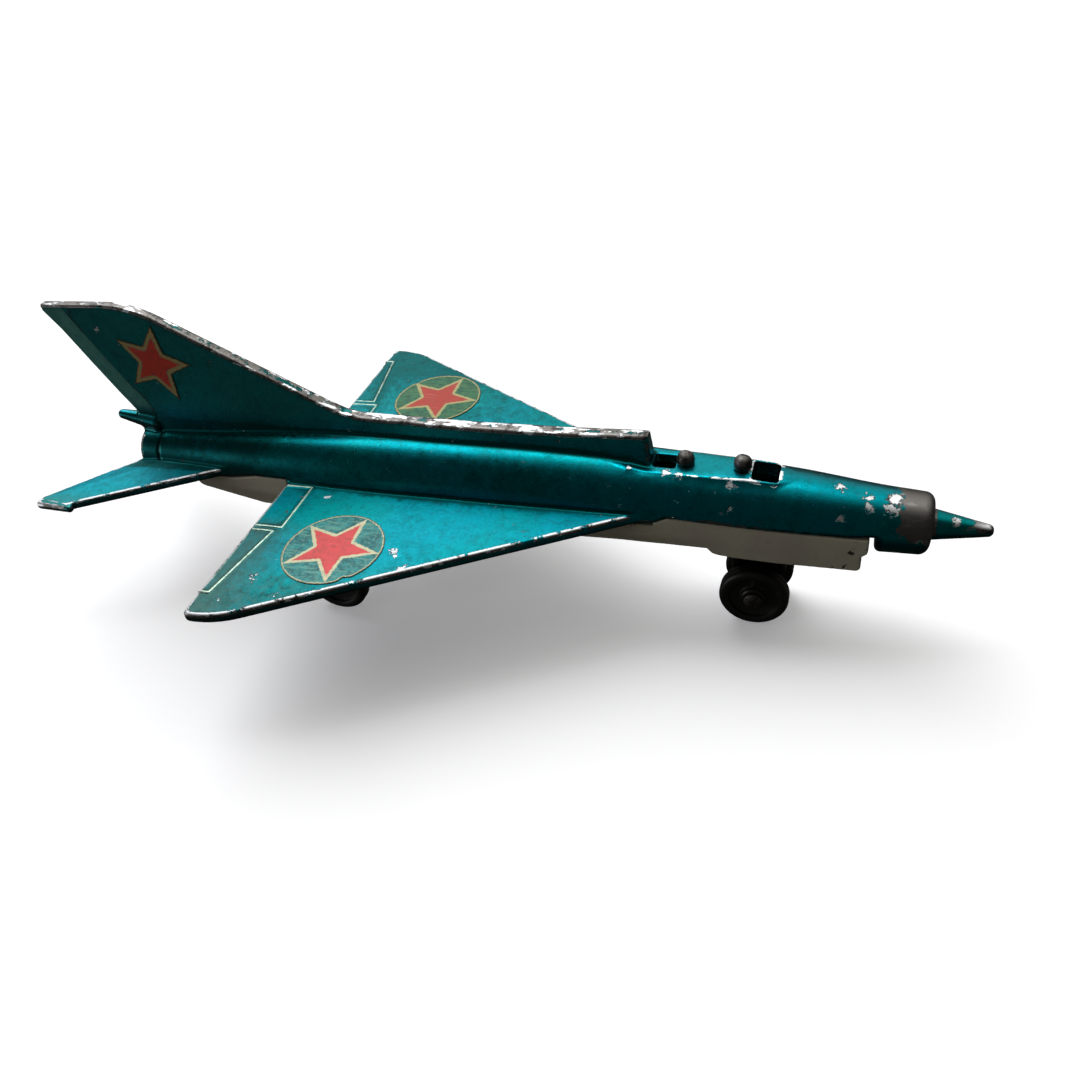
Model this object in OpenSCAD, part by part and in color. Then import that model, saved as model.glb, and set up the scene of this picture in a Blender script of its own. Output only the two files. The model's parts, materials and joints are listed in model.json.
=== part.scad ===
// Pocket die-cast jet: two zinc castings joined by rivets, moulded legs, free-rolling wheels, paper labels.
// Frame: +X to the nose, +Y to the left wing, +Z up. The origin is on the ground under the toy's middle.

/* [Castings] */
// Wall thickness of the hollow castings
wall = 1.2; // [1:0.05:1.4]
// Gap left along the joint between the two castings
seam = 0.1; // [0.05:0.05:0.2]

/* [Fuselage] */
// Half of the overall length, from the middle to the nose tip
half_l = 48.2; // [47.6:0.1:49]
// Radius of the fuselage at the wings
body_r = 4.5; // [4.4:0.05:4.6]
// Radius of the fuselage at its tail end
tail_r = 2.9; // [2.8:0.05:3]
// Radius of the nose ring at its front face
face_r = 2.85; // [2.8:0.05:2.95]
// Downward tilt of the nose section, in degrees
droop = 2.3; // [2:0.1:2.6]
// Radius of the cone in the air intake, at its root
cone_r = 1.45; // [1.3:0.05:1.6]

/* [Wings and tail] */
// Span over both wing tips
span = 48.8; // [46:0.2:51]
// Height of the upper face of the wings above the ground
wing_z = 13.7; // [13.5:0.1:14]
// Thickness of the wings
wing_t = 1.1; // [1:0.05:1.2]
// Sweep of the wing and tailplane leading edges, in degrees
sweep = 60; // [59:0.25:61]
// Span over both tailplane tips
tail_span = 25.2; // [24:0.2:27]
// Height of the fin tip above the ground
fin_z = 31.8; // [30:0.2:33]
// Thickness of the fin
fin_t = 1.5; // [1.3:0.1:1.7]
// Width of the spine behind the cockpit
spine_w = 2.5; // [2.3:0.1:2.7]

/* [Wheels] */
// Radius of every wheel
wheel_r = 3.4; // [3.2:0.05:3.6]
// Width of every wheel
wheel_w = 1.8; // [1.6:0.1:1.9]
// Radius of the axles
axle_r = 0.5; // [0.4:0.05:0.6]
// Radial running clearance of a wheel on its axle
play = 0.06; // [0.04:0.01:0.08]
// Distance between the outer faces of the nose wheels
nose_track = 6.4; // [6.3:0.1:7]
// Distance between the outer faces of the main wheels
main_track = 17.2; // [16.6:0.2:18]

/* [Labels] */
// Radius of the round wing labels
label_r = 5.07; // [4.6:0.01:5.1]
// Radius over the points of the star labels on the fin
star_r = 4.6; // [4:0.1:4.7]
// Thickness of the label paper
paper_t = 0.08; // [0.06:0.01:0.12]

/* [Hidden] */
$fn = 64;
eps = 0.01;
reach = 2 * half_l;
paint = [0.0, 0.42, 0.45];
belly_white = [0.86, 0.85, 0.80];
steel = [0.55, 0.55, 0.56];
black = [0.04, 0.04, 0.045];

// Stations along the fuselage, from the tail end to the nose ring
tail_x = -40.7;
neck_x = -33.0;
taper_x = -26.3;
waist_x = -13.0;
bend_x = 9.0;
sill_x = 17.7;
ring_x = 38.4;
face_x = 43.0;
neck_r = tail_r + 0.3;
taper_r = (neck_r + body_r) / 2 - 0.1;
sill_r = body_r - 0.2;
brow_x = 30.0;
brow_r = sill_r - 0.45;
ring_r = face_r + 0.25;

// Joint between the castings: it steps down under the wing and tailplane roots, and falls to the nose
joint_rear_x = neck_x - 1.1;
joint_front_x = ring_x - 0.1;
joint_step_x = taper_x - 0.2;
joint_aft_z = wing_z + 0.2;
joint_root_z = wing_z - 0.2;
joint_front_z = wing_z - 1.4;
wing_under_z = wing_z - wing_t;
tongue_l = 2.3;
tongue_w = 2.0;
tongue_t = 0.9;
tongue_z = wing_z - 1.4;

// Belly of the lower casting: its keel line, the deeper chin under the nose and its chamfered sides
belly_rear_z = wing_z - 3.0;
keel_z = wing_z - 4.4;
belly_z = wing_z - 4.1;
flat_front_x = 8.0;
belly_fore_z = wing_z - 3.7;
chin_rear_x = 23.9;
chin_step = 0.6;
chin_rear_z = wing_z - 4.6;
chin_z = wing_z - 5.4;
belly_front_x = joint_front_x - 0.7;
lip_x = belly_front_x - 0.6;
lip_z = chin_z + 2.1;
chamfer_w = 1.5;
chamfer_z = wing_z - 2.4;

// Wing outline
wing_rear_x = -21.1;
wing_root_y = body_r - wall / 2;
wing_tip_y = span / 2;
tip_front_r = 9;
tip_rear_r = 0.6;
tip_flat = 0.2;
tip_arc_x = wing_rear_x + tip_rear_r + tip_flat;
tip_arc_y = wing_tip_y - tip_front_r;
// The leading edge is tangent to the tip's front arc, and meets the fuselage here
wing_root_x = tip_arc_x + tip_front_r / cos(sweep) + (tip_arc_y - body_r) * tan(sweep);
// and runs on into the fuselage wall as far as here
wing_inner_x = wing_root_x + (body_r - wing_root_y) * tan(sweep);

// Tailplane outline
stab_z = wing_z + 0.5;
stab_t = 1.0;
stab_root_x = -26.9;
stab_root_y = neck_r - wall + 0.4;
stab_rear_x = tail_x - 0.6;
stab_tip_y = tail_span / 2;
stab_tip_x = stab_root_x - (stab_tip_y - stab_root_y) * tan(sweep) + 1.2;

// Fin and spine outline, seen from the side
spine_z = wing_z + 6.3;
fin_corner_r = 10;
fin_slope = 27.8;
fin_edge_x = -32.6;
fin_edge_z = fin_z - 1.85;
fin_foot_z = spine_z + 1.1;
fin_foot_x = fin_edge_x + (fin_edge_z - fin_foot_z) / tan(fin_slope);
fin_rear_x = 0.8 - half_l;
rudder_foot_x = -41.0;
rudder_foot_z = wing_z + 5.3;
fin_foot_l = 3.4;
spine_rise = 0.15;
fin_tip_h = 0.8;
fin_tip_l = 0.3;

// Cockpit openings and rivets
slot_w = 2.9;
deck_z = wing_z + 3.3;
deck_l = 12.6;
front_slot_x = 27.1;
front_slot_l = 2.4;
rear_slot_x = 17.9;
rear_slot_l = 2.1;
rear_slot_w = 2.1;
rivet_r = 0.6;
rivet_head_r = 0.85;
rivet_head_h = 1.3;
foot_h = 0.4;
front_rivet_x = 26.15;
rear_rivet_x = 20.85;
boss_r = 1.5;
boss_top_z = wing_z + 1.5;
front_rivet_z = wing_z - 5.2;
fit = 0.01;

// Undercarriage
nose_x = 27.75;
main_x = -16.1;
leg_l = 5.3;
leg_rear_x = 25.3;
leg_w = 2.2;
flange = 0.8;
main_leg_l = 4.2;
main_leg_t = 1.4;
knuckle_r = 1.6;
knee_h = 0.6;
main_leg_h = 3.5;
main_leg_gap = 0.3;
main_foot_lap = 0.4;
head_r = 0.9;
head_l = 0.45;
side_play = 0.1;
notch_h = 1.1;

// Middles of the labels
label_x = -10.8;
label_y = 13.6;
star_x = -35.8;
star_ratio = 0.42;
star_z = wing_z + 11.65;

// ---------- helpers ----------

// Solid turned about the X axis: points are [x, radius], and inset shrinks the radius
module turned(points, inset = 0) {
    first = points[0][0];
    last = points[len(points) - 1][0];
    rim = [for (p = points) [max(p[1] - inset, eps), p[0]]];
    rotate([90, 0, 90])
        rotate_extrude()
            polygon(concat([[0, first]], rim, [[0, last]]));
}

// Plate cut from a side view: points are [x, z], centred on the middle plane
module side_plate(points, width) {
    translate([0, width / 2, 0])
        rotate([90, 0, 0])
            linear_extrude(width) polygon(points);
}

// Pin along Y with a domed head on each end, between the inner faces of the heads
module headed_pin(length) {
    half = length / 2;
    profile = [[0, -half - head_l], [head_r - head_l / 2, -half - head_l], [head_r, -half - head_l / 2],
               [head_r, -half], [axle_r, -half], [axle_r, half], [head_r, half],
               [head_r, half + head_l / 2], [head_r - head_l / 2, half + head_l], [0, half + head_l]];
    rotate([-90, 0, 0]) rotate_extrude() polygon(profile);
}

function star(points, outer, inner) = [for (i = [0 : 2 * points - 1])
    (i % 2 == 0 ? outer : inner) * [cos(180 * i / points), sin(180 * i / points)]];

function arc(centre, r, from, to, steps) = [for (i = [0 : steps])
    centre + r * [cos(from + (to - from) * i / steps), sin(from + (to - from) * i / steps)]];

// ---------- fuselage shapes shared by the castings ----------

aft_profile = [[tail_x, tail_r], [neck_x, neck_r], [taper_x, taper_r], [waist_x, body_r], [bend_x, body_r]];
bend_step = 0.05;
fore_profile = [[-6, body_r - 0.5], [0, body_r - bend_step], [sill_x - bend_x, sill_r],
                [brow_x - bend_x, brow_r], [ring_x - bend_x, ring_r], [face_x - bend_x, face_r]];

module aft_body(inset = 0) {
    translate([0, 0, wing_z]) turned(aft_profile, inset);
}

module in_nose_frame() {
    translate([bend_x, 0, wing_z]) rotate([0, droop, 0]) children();
}

module fore_body(inset = 0) {
    in_nose_frame() turned(fore_profile, inset);
}

// Everything below the joint line, shifted by shift, with the step under the wing roots at under_z
module below_joint(shift, under_z) {
    stab_under_z = stab_z - stab_t - seam;
    top = [[joint_rear_x, stab_under_z], [joint_step_x, stab_under_z],
           [joint_step_x, joint_aft_z], [wing_rear_x - seam, joint_aft_z],
           [wing_rear_x - seam, under_z - shift], [wing_inner_x + seam, under_z - shift],
           [wing_inner_x + seam, joint_root_z], [joint_front_x, joint_front_z]];
    lifted = [for (p = top) [p[0], p[1] + shift]];
    side_plate(concat([[joint_rear_x, 0]], lifted, [[joint_front_x, 0]]), 4 * body_r);
}

// ---------- upper casting ----------

module wing_plate() {
    outline = concat(
        [[wing_rear_x, wing_root_y], [wing_inner_x, wing_root_y]],
        arc([tip_arc_x, tip_arc_y], tip_front_r, sweep, 90, 6),
        arc([wing_rear_x + tip_rear_r, wing_tip_y - tip_rear_r], tip_rear_r, 90, 180, 4));
    translate([0, 0, wing_under_z]) linear_extrude(wing_t) polygon(outline);
}

// Raised lines that outline the flap and the aileron
module wing_lines() {
    line_w = 0.35;
    line_h = 0.15;
    edge_x = wing_rear_x + 0.3;
    flap_x = wing_rear_x + 3.3;
    aileron_x = [wing_rear_x + 2.7, wing_rear_x + 1.1];
    split_y = 11.6;
    aileron_y = [12.1, 21.4];
    lines = [[[flap_x, wing_root_y], [flap_x, split_y]], [[flap_x, split_y], [edge_x, split_y]],
             [[aileron_x[0], aileron_y[0]], [aileron_x[1], aileron_y[1]]],
             [[aileron_x[1], aileron_y[1]], [edge_x, aileron_y[1]]]];
    for (ends = lines) {
        run = ends[1] - ends[0];
        translate([ends[0][0], ends[0][1], wing_z - eps])
            rotate([0, 0, atan2(run[1], run[0])])
                translate([0, -line_w / 2, 0]) cube([norm(run), line_w, line_h + eps]);
    }
}

module tailplane() {
    // The tip carries a slim pod that runs a little ahead of the leading edge
    pod_w = 1.3;
    nose = 0.4;
    cut = 0.7;
    rim = 0.3;
    outline = [[stab_rear_x, stab_root_y], [stab_root_x, stab_root_y],
               [stab_tip_x, stab_tip_y - pod_w], [stab_tip_x + nose, stab_tip_y - rim],
               [stab_tip_x - nose, stab_tip_y], [-half_l, stab_tip_y - cut],
               [-half_l, stab_tip_y - pod_w]];
    translate([0, 0, stab_z - stab_t]) linear_extrude(stab_t) polygon(outline);
}

module fin_and_spine() {
    root_z = wing_z + tail_r - wall / 2;
    // The top edge turns into the sloping leading edge through an arc
    arc_start_z = fin_z - fin_corner_r;
    arc_end_z = arc_start_z + fin_corner_r * cos(fin_slope);
    arc_x = fin_edge_x + (fin_edge_z - arc_end_z) / tan(fin_slope) - fin_corner_r * sin(fin_slope);
    outline = concat(
        [[sill_x, root_z], [rudder_foot_x, root_z], [rudder_foot_x, rudder_foot_z],
         [fin_rear_x, fin_z - fin_tip_h], [fin_rear_x + fin_tip_l, fin_z]],
        arc([arc_x, arc_start_z], fin_corner_r, 90, 90 - fin_slope, 6),
        [[fin_foot_x, fin_foot_z], [fin_foot_x + fin_foot_l, spine_z],
         [bend_x, spine_z], [sill_x, spine_z + spine_rise]]);
    plan = [[-half_l, -fin_t / 2], [fin_foot_x, -fin_t / 2], [bend_x, -spine_w / 2], [sill_x, -spine_w / 2],
            [sill_x, spine_w / 2], [bend_x, spine_w / 2], [fin_foot_x, fin_t / 2], [-half_l, fin_t / 2]];
    intersection() {
        side_plate(outline, 2 * spine_w);
        linear_extrude(2 * fin_z) polygon(plan);
    }
}

// Small fairing at the foot of the rudder
module tail_fairing() {
    r = 0.95;
    l = 6.3;
    point_l = 1.8;
    axis_z = wing_z + 4.3;
    rear = rudder_foot_x - l / 2;
    translate([0, 0, axis_z])
        turned([[rear, r / 2], [rear + point_l, r], [rear + l, r]]);
}

module intake_cone() {
    tip_r = 0.55;
    root = ring_x + wall - bend_x;
    tip = (half_l - bend_x - tip_r / 2 * sin(droop)) / cos(droop);
    in_nose_frame()
        turned([[root, cone_r], [face_x - bend_x, cone_r], [tip - tip_r, tip_r], [tip, tip_r / 2]]);
}

module intake_recess() {
    groove = 0.45;
    depth = 1.2;
    in_nose_frame()
        turned([[face_x - bend_x - depth, cone_r + groove], [face_x - bend_x + eps, cone_r + groove]]);
}

module nozzle_recess() {
    lip = 0.55;
    depth = 2.6;
    translate([0, 0, wing_z]) turned([[tail_x - eps, tail_r - lip], [tail_x + depth, tail_r - lip]]);
}

module fuselage_hollow() {
    pocket_x = joint_rear_x - tongue_l - 0.7;
    translate([0, 0, wing_z])
        turned([[pocket_x, tail_r - wall], [neck_x, neck_r - wall],
                [taper_x, taper_r - wall], [waist_x, body_r - wall], [bend_x, body_r - wall]]);
    in_nose_frame()
        turned([[-wall, body_r - wall - 4 * bend_step], [0, body_r - wall - bend_step],
                [sill_x - bend_x, sill_r - wall], [brow_x - bend_x, brow_r - wall],
                [ring_x - bend_x - wall, ring_r - wall]]);
}

module cockpit_openings() {
    for (s = [[front_slot_x, front_slot_l, slot_w], [rear_slot_x, rear_slot_l, rear_slot_w]])
        translate([s[0], -s[2] / 2, wing_z + 1]) cube([s[1], s[2], body_r]);
    translate([sill_x, -body_r, deck_z]) cube([deck_l, 2 * body_r, body_r]);
}

module rivet_holes() {
    for (x = [front_rivet_x, rear_rivet_x])
        translate([x, 0, 0]) cylinder(r = rivet_r + fit, h = fin_z);
}

module upper_body() {
    color(paint)
        union() {
            difference() {
                union() {
                    difference() {
                        union() {
                            aft_body();
                            fore_body();
                        }
                        below_joint(0, wing_under_z + wing_t / 4);
                    }
                    fin_and_spine();
                    tail_fairing();
                }
                fuselage_hollow();
                intake_recess();
                nozzle_recess();
                cockpit_openings();
                rivet_holes();
            }
            intake_cone();
            for (side = [0, 1])
                mirror([0, side, 0]) {
                    wing_plate();
                    wing_lines();
                    tailplane();
                }
        }
}

// ---------- lower casting ----------

// Outer form of the belly: side view, plan and chamfered section, all shrunk by inset
module belly_form(inset = 0) {
    side = [[joint_rear_x + inset, wing_z + body_r], [joint_rear_x + inset, belly_rear_z + inset],
            [taper_x, keel_z + inset], [waist_x, belly_z + inset], [flat_front_x, belly_z + inset],
            [rear_rivet_x - boss_r, belly_fore_z + inset],
            [chin_rear_x - chin_step - inset, belly_fore_z + inset],
            [chin_rear_x - inset, chin_rear_z + inset], [lip_x - inset, chin_z + inset],
            [lip_x - inset, lip_z], [belly_front_x - inset, lip_z + seam],
            [belly_front_x - inset, wing_z + body_r]];
    half_plan = [[belly_front_x, ring_r + seam], [brow_x, brow_r], [sill_x, sill_r], [bend_x, body_r],
                 [waist_x, body_r], [taper_x, taper_r], [joint_rear_x, neck_r]];
    left = [for (p = half_plan) [p[0], p[1] - inset]];
    right = [for (i = [len(half_plan) - 1 : -1 : 0]) [half_plan[i][0], inset - half_plan[i][1]]];
    foot_y = body_r - chamfer_w - inset;
    section = [[-body_r, wing_z + body_r], [-body_r, chamfer_z], [-foot_y, chin_z + inset],
               [foot_y, chin_z + inset], [body_r, chamfer_z], [body_r, wing_z + body_r]];
    intersection() {
        side_plate(side, 4 * body_r);
        linear_extrude(fin_z) polygon(concat(left, right));
        translate([-reach / 2, 0, 0]) rotate([90, 0, 90]) linear_extrude(reach) polygon(section);
    }
}

module nose_leg_slot(gap) {
    translate([leg_rear_x - gap, -leg_w / 2 - gap, 0]) cube([leg_l + 2 * gap, leg_w + 2 * gap, wing_z]);
}

module main_leg_notch() {
    for (side = [0, 1])
        mirror([0, side, 0])
            translate([main_x - main_leg_l / 2 - fit, body_r - 3 * wall, wing_under_z - notch_h - fit])
                cube([main_leg_l + 2 * fit, body_r, notch_h + 1]);
}

// Tongue that hooks into the tail of the upper casting
module tongue() {
    translate([joint_rear_x - tongue_l, -tongue_w / 2, tongue_z])
        cube([tongue_l + wall, tongue_w, tongue_t]);
}

module lower_body() {
    color(belly_white)
        difference() {
            union() {
                difference() {
                    intersection() {
                        belly_form();
                        below_joint(-seam, wing_under_z - seam);
                    }
                    belly_form(wall);
                }
                tongue();
                translate([rear_rivet_x, 0, belly_fore_z])
                    cylinder(r = boss_r, h = boss_top_z - belly_fore_z);
            }
            rivet_holes();
            translate([rear_rivet_x, 0, belly_fore_z - eps])
                cylinder(r = rivet_head_r + fit, h = foot_h + eps + fit);
            nose_leg_slot(fit);
            main_leg_notch();
        }
}

// ---------- rivets ----------

// Rivet with a domed head seated at head_z; a clenched one spreads at its foot, which is at foot_z
module rivet(x, head_z, foot_z, clench) {
    dome = [for (a = [0 : 15 : 90]) [rivet_head_r * cos(a), head_z + rivet_head_h / 2 * (1 + sin(a))]];
    foot = clench ? [[rivet_head_r, foot_z], [rivet_head_r, foot_z + foot_h], [rivet_r, foot_z + foot_h]]
                  : [[rivet_r, foot_z]];
    profile = concat([[0, foot[0][1]]], foot, [[rivet_r, head_z], [rivet_head_r, head_z]], dome);
    color(steel) translate([x, 0, 0]) rotate_extrude() polygon(profile);
}

module front_rivet() {
    rivet(front_rivet_x, deck_z, front_rivet_z, false);
}

module rear_rivet() {
    rivet(rear_rivet_x, deck_z, belly_fore_z, true);
}

// ---------- undercarriage ----------

// Nose leg: block through the belly with a flange inside, and a knuckle that holds the axle
module nose_leg() {
    knee_z = wheel_r + knuckle_r + knee_h;
    outline = concat([[leg_rear_x, wing_z], [leg_rear_x, knee_z]],
                     arc([nose_x, wheel_r], knuckle_r, 200, 340, 10),
                     [[leg_rear_x + leg_l, knee_z], [leg_rear_x + leg_l, wing_z]]);
    color(black)
        difference() {
            union() {
                side_plate(outline, leg_w);
                translate([leg_rear_x - flange, -leg_w / 2 - flange, chin_rear_z + wall + seam])
                    cube([leg_l + 2 * flange, leg_w + 2 * flange, flange]);
            }
            translate([nose_x, 0, wheel_r]) rotate([90, 0, 0])
                cylinder(r = axle_r + fit, h = 2 * leg_w, center = true);
            translate([front_rivet_x, 0, front_rivet_z - fit])
                cylinder(r = rivet_r + fit, h = fin_z);
        }
}

// Main leg on the left: foot trapped under the wing root, strut and knuckle
module main_leg() {
    inner_y = main_track / 2 - wheel_w - main_leg_gap - main_leg_t;
    foot_y = body_r - 2 * wall + main_foot_lap;
    top_z = wing_under_z - fit;
    rear = main_x - main_leg_l / 2;
    front = main_x + main_leg_l / 2;
    outline = concat([[rear, top_z], [rear, top_z - main_leg_h]],
                     arc([main_x, wheel_r], knuckle_r, 180, 360, 12),
                     [[front, top_z - main_leg_h], [front, top_z]]);
    color(black)
        difference() {
            union() {
                translate([0, inner_y + main_leg_t / 2, 0]) side_plate(outline, main_leg_t);
                translate([rear, foot_y, top_z - notch_h])
                    cube([main_leg_l, inner_y + main_leg_t - foot_y, notch_h]);
            }
            translate([main_x, 0, wheel_r]) rotate([-90, 0, 0])
                cylinder(r = axle_r + fit, h = main_track);
        }
}

module main_leg_left() {
    main_leg();
}

module main_leg_right() {
    mirror([0, 1, 0]) main_leg();
}

module nose_axle() {
    color(steel) translate([nose_x, 0, wheel_r]) headed_pin(nose_track + 2 * side_play);
}

module main_axle() {
    color(steel) translate([main_x, 0, wheel_r]) headed_pin(main_track + 2 * side_play);
}

// Wheel on the left: bored hub, dished face and rounded tread
module wheel(x, track) {
    bore_r = axle_r + play;
    shoulder = 0.45;
    dish_r = wheel_r - 1.2;
    dish = 0.25;
    hub_r = axle_r + 0.6;
    profile = [[bore_r, 0], [wheel_r - shoulder, 0], [wheel_r, shoulder], [wheel_r, wheel_w - shoulder],
               [wheel_r - shoulder, wheel_w], [dish_r, wheel_w], [dish_r - dish, wheel_w - dish],
               [hub_r + dish, wheel_w - dish], [hub_r, wheel_w], [bore_r, wheel_w]];
    color(black)
        translate([x, track / 2 - wheel_w, wheel_r])
            rotate([-90, 0, 0]) rotate_extrude() polygon(profile);
}

module nose_wheel_left() {
    wheel(nose_x, nose_track);
}

module nose_wheel_right() {
    mirror([0, 1, 0]) wheel(nose_x, nose_track);
}

module main_wheel_left() {
    wheel(main_x, main_track);
}

module main_wheel_right() {
    mirror([0, 1, 0]) wheel(main_x, main_track);
}

// ---------- labels ----------

module wing_label(side) {
    color("lightgreen")
        translate([label_x, side * label_y, wing_z]) cylinder(r = label_r, h = paper_t);
}

module fin_label(side) {
    color("crimson")
        translate([star_x, side * (fin_t + paper_t) / 2, star_z])
            side_plate(star(5, star_r, star_r * star_ratio), paper_t);
}

module wing_label_left() {
    wing_label(1);
}

module wing_label_right() {
    wing_label(-1);
}

module fin_label_left() {
    fin_label(1);
}

module fin_label_right() {
    fin_label(-1);
}

upper_body();
lower_body();
front_rivet();
rear_rivet();
nose_leg();
nose_axle();
nose_wheel_left();
nose_wheel_right();
main_leg_left();
main_leg_right();
main_axle();
main_wheel_left();
main_wheel_right();
wing_label_left();
wing_label_right();
fin_label_left();
fin_label_right();
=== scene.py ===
import json
import math

import bmesh
import bpy
import numpy as np
from mathutils import Matrix, Vector


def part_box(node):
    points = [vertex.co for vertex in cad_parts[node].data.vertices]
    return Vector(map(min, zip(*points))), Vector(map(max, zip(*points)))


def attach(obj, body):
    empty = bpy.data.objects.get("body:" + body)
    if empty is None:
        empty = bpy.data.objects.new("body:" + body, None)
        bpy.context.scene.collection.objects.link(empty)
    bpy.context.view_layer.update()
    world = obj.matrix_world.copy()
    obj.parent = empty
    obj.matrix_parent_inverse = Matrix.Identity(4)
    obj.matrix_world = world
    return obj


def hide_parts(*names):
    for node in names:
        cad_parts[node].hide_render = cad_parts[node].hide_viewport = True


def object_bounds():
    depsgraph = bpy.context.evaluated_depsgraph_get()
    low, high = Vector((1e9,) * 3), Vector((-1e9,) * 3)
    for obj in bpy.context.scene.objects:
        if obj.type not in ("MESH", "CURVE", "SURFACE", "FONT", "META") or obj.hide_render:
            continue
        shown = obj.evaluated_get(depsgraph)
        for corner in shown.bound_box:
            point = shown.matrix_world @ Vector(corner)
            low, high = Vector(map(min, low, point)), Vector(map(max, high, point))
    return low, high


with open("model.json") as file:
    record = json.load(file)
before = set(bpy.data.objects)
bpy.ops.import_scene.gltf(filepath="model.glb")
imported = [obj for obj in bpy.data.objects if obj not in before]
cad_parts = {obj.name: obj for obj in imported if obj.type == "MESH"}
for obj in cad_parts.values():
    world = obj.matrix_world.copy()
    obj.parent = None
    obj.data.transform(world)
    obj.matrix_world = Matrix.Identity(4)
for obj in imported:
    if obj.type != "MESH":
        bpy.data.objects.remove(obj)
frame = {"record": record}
cad_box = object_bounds()

# Shapes are worked out in millimetres and turned into metres when a mesh is made.
MM = 0.001


def box_mm(name):
    """Low corner, high corner and middle of a CAD node's box, in millimetres."""
    low, high = np.array(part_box(name)) / MM
    return low, high, (low + high) / 2


# ----- sizes read from the frame -----

NOSE_TIP, HALF_SPAN, FIN_TOP = np.array(cad_box[1]) / MM
LABEL_LOW, LABEL_HIGH, LABEL_CENTRE = box_mm("wing_label_left")
LABEL_R = (LABEL_HIGH[0] - LABEL_LOW[0]) / 2
PAPER = LABEL_HIGH[2] - LABEL_LOW[2]
WING_TOP = LABEL_LOW[2]
FIN_HALF = box_mm("fin_label_left")[0][1]
BELLY_LOW, BELLY_HIGH = box_mm("lower_body")[:2]
JOINTS = {j["child"]: np.array(j["pos_m"]) / MM for j in frame["record"]["behaviour"]["joints"]}

# ----- distance fields: negative inside, in millimetres -----


def soft_min(a, b, k):
    """Union of two fields with a fillet about k wide."""
    h = np.maximum(k - np.abs(a - b), 0) / k
    return np.minimum(a, b) - h * h * k / 4


def soft_max(a, b, k):
    """Intersection of two fields with its edge rounded about k wide."""
    return -soft_min(-a, -b, k)


def round_max(a, b, r):
    """Intersection of two fields whose edge is a true arc of radius r."""
    u, v = a + r, b + r
    outside = np.hypot(np.maximum(u, 0), np.maximum(v, 0))
    return outside + np.minimum(np.maximum(u, v), 0) - r


def step_up(t, low, high):
    """Smooth 0 to 1 between low and high."""
    s = np.clip((t - low) / (high - low), 0, 1)
    return s * s * (3 - 2 * s)


def only_near(low, high, field, x, y, z):
    """A field worked out only near a box given for y above 0. Elsewhere it is just far."""
    far = 2.0
    ay = np.abs(y)
    near = (x > low[0] - far) & (x < high[0] + far) & (ay > low[1] - far) & (ay < high[1] + far)
    near &= (z > low[2] - far) & (z < high[2] + far)
    out = np.full(x.shape, far)
    if near.any():
        out[near] = field(x[near], y[near], z[near])
    return out


def polygon_field(points, u, v):
    """Signed distance to a closed outline in a plane."""
    best = np.full(u.shape, 1e9, u.dtype)
    inside = np.zeros(u.shape, bool)
    for (ax, ay), (bx, by) in zip(points, points[1:] + points[:1]):
        ex, ey = bx - ax, by - ay
        wu, wv = u - ax, v - ay
        t = np.clip((wu * ex + wv * ey) / (ex * ex + ey * ey), 0, 1)
        best = np.minimum(best, (wu - t * ex) ** 2 + (wv - t * ey) ** 2)
        if ey:
            crosses = ((ay <= v) != (by <= v)) & ((wv * ex / ey > wu))
            inside ^= crosses
    d = np.sqrt(best)
    return np.where(inside, -d, d)


def box_field(centre, half, p, r=0.0):
    """Box with rounded edges."""
    q = np.abs(p - centre) - (np.array(half) - r)
    return np.linalg.norm(np.maximum(q, 0), axis=1) + np.minimum(q.max(axis=1), 0) - r


def rod_field(a, b, ra, rb, p):
    """Rod from a to b with round ends, its radius going from ra to rb."""
    a, b = np.array(a, float), np.array(b, float)
    t = np.clip((p - a) @ (b - a) / ((b - a) @ (b - a)), 0, 1)
    return np.linalg.norm(p - a - t[:, None] * (b - a), axis=1) - (ra + (rb - ra) * t)


def eased(stations, x):
    """Smooth curve through (x, value) stations."""
    xs = np.array([s[0] for s in stations], float)
    ys = np.array([s[1] for s in stations], float)
    slopes = np.gradient(ys, xs)
    i = np.clip(np.searchsorted(xs, x) - 1, 0, len(xs) - 2)
    h = xs[i + 1] - xs[i]
    t = np.clip((x - xs[i]) / h, 0, 1)
    a, b = ys[i] + slopes[i] * h * t, ys[i + 1] - slopes[i + 1] * h * (1 - t)
    return a + (b - a) * t * t * (3 - 2 * t)


def arc(centre, r, start, end, steps):
    angles = np.radians(np.linspace(start, end, steps + 1))
    return [(centre[0] + r * math.cos(a), centre[1] + r * math.sin(a)) for a in angles]


# ----- the airframe's form -----

WALL = 1.2
WING_T = 1.1
SWEEP = 60
TAIL_X, RING_X, FACE_X = -40.7, 38.4, 43.0
SILL_X = 17.7
REAR_SLOT_X, FRONT_SLOT_X = 18.95, 28.3
SEAM_X = -38.1
DROOP = math.radians(2.3)
# Fuselage stations: distance along the body, then radius or height of the axis over the wings' top
RADIUS = [(-42, 2.8), (-40.7, 2.86), (-38, 2.97), (-33, 3.2), (-26.3, 3.72), (-19, 4.22), (-13, 4.47),
          (-4, 4.5), (9, 4.45), (SILL_X, 4.3), (24, 4.1), (30, 3.85), (34.7, 3.45), (RING_X, 3.1),
          (41, 2.95), (44, 2.8)]
AXIS = [(-42, 0.15), (-33, 0.1), (-19, 0.0), (2, 0.0), (9, -0.05), (SILL_X, -0.37), (30, -0.86),
        (RING_X, -1.19), (44, -1.42)]
WING_REAR_X = -21.1
BODY_R = 4.5
BELLY_REAR_X = BELLY_LOW[0] + 2.3


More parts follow.
